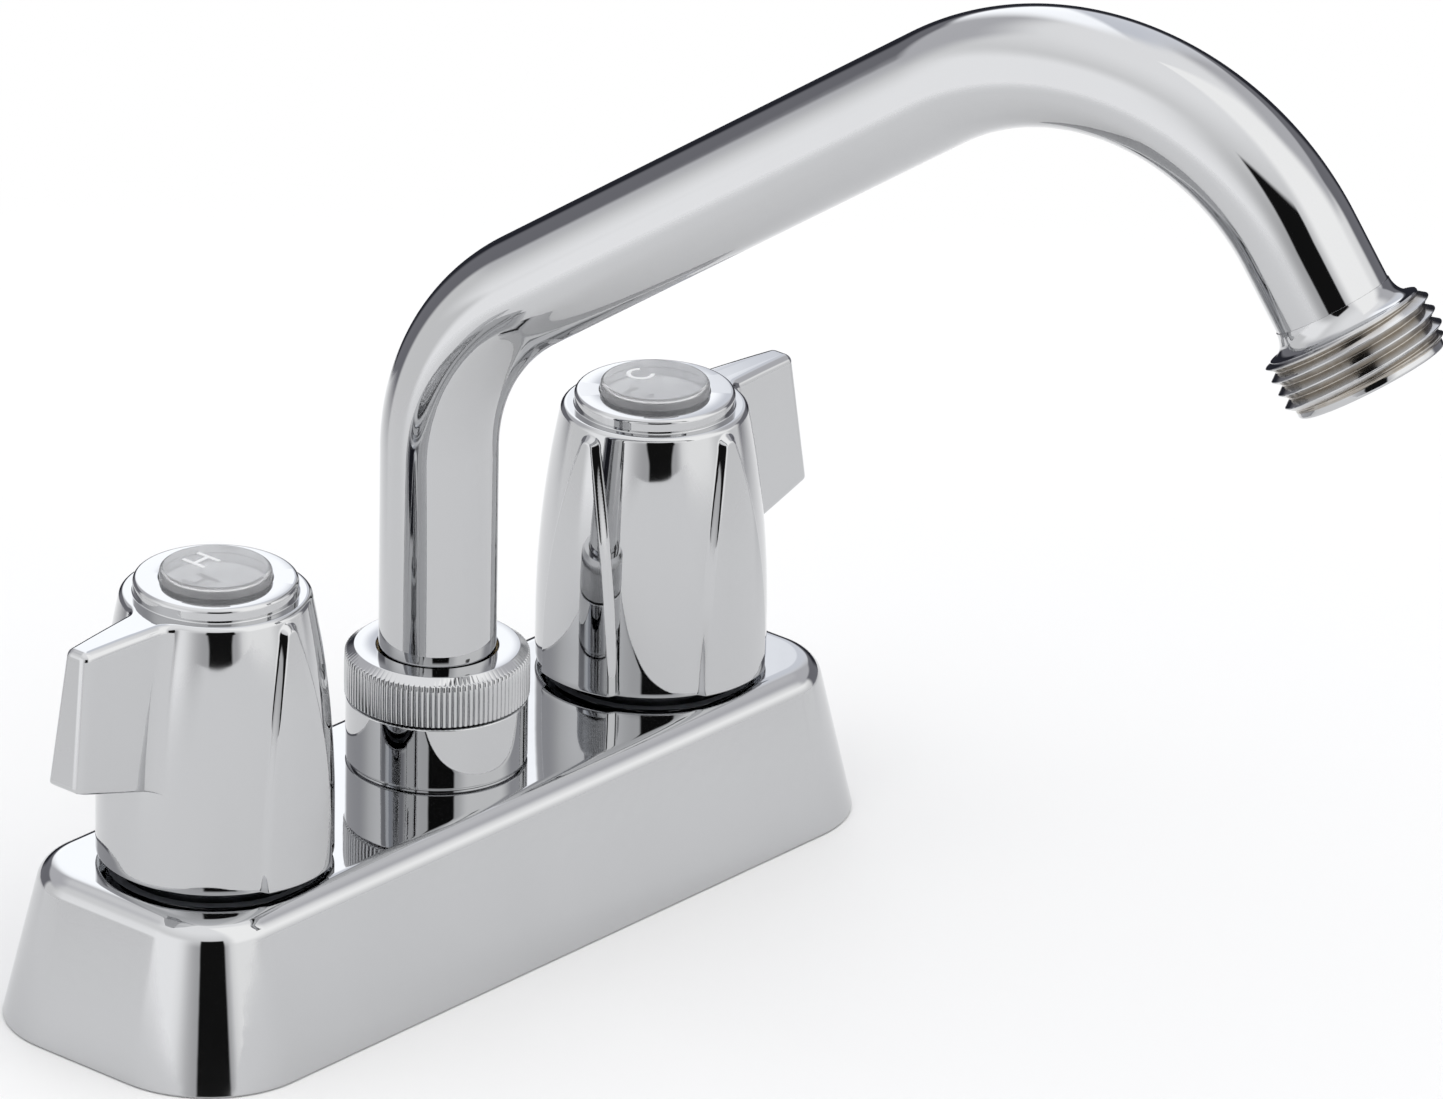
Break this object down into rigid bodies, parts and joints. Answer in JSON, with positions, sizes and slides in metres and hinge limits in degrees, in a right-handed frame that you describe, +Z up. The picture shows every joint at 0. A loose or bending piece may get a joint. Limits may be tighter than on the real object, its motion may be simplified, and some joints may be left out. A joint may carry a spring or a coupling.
{
  "type": "utility sink faucet",
  "caption": "Chromed deck faucet with a lever handle at each end of a leaning-sided base and a bent swivelling spout that ends in a hose thread.",
  "frame": {"origin": "centre of the base's underside, on the deck plane", "axes": "+Z up, +X along the base towards the cold handle, -Y towards the user and the spout"},
  "size_m": [0.1696, 0.1926, 0.2196],
  "materials": {
    "chrome": "mirror chrome plate",
    "brass": "turned and cast brass",
    "steel": "plain stainless steel",
    "rubber": "matt black rubber",
    "nylon": "white nylon",
    "clear_acrylic": "clear grey acrylic"
  },
  "bodies": {
    "fixed_body": {"escutcheon": "chrome", "spout_hub": "chrome", "coupling_nut": "chrome", "hot_clamp_nut": "chrome", "cold_clamp_nut": "chrome", "waterway_body": "brass", "hot_inlet_shank": "brass", "cold_inlet_shank": "brass", "hot_fixing_nut": "brass", "cold_fixing_nut": "brass", "hot_bonnet_nut": "brass", "cold_bonnet_nut": "brass", "hot_fixing_washer": "steel", "cold_fixing_washer": "steel", "hot_seat_spring": "steel", "cold_seat_spring": "steel", "base_gasket": "rubber", "hot_valve_seat": "rubber", "cold_valve_seat": "rubber", "lower_slip_ring": "nylon", "upper_slip_ring": "nylon"},
    "spout": {"spout_tube": "chrome", "spout_spigot": "brass", "hose_end": "chrome", "upper_o_ring": "rubber", "lower_o_ring": "rubber"},
    "hot_control": {"hot_handle": "chrome", "hot_index_button": "clear_acrylic", "hot_handle_screw": "steel", "hot_stem": "brass", "hot_stem_o_ring": "rubber"},
    "cold_control": {"cold_handle": "chrome", "cold_index_button": "clear_acrylic", "cold_handle_screw": "steel", "cold_stem": "brass", "cold_stem_o_ring": "rubber"}
  },
  "joints": [
    {"name": "spout_swivel", "type": "hinge", "parent": "fixed_body", "child": "spout", "pos_m": [0, 0, 0.04], "axis": [0, 0, 1], "continuous": true},
    {"name": "hot_handle_turn", "type": "hinge", "parent": "fixed_body", "child": "hot_control", "pos_m": [-0.0508, 0, 0.04], "axis": [0, 0, 1], "range_deg": [0, 90]},
    {"name": "cold_handle_turn", "type": "hinge", "parent": "fixed_body", "child": "cold_control", "pos_m": [0.0508, 0, 0.04], "axis": [0, 0, 1], "range_deg": [-90, 0]}
  ]
}
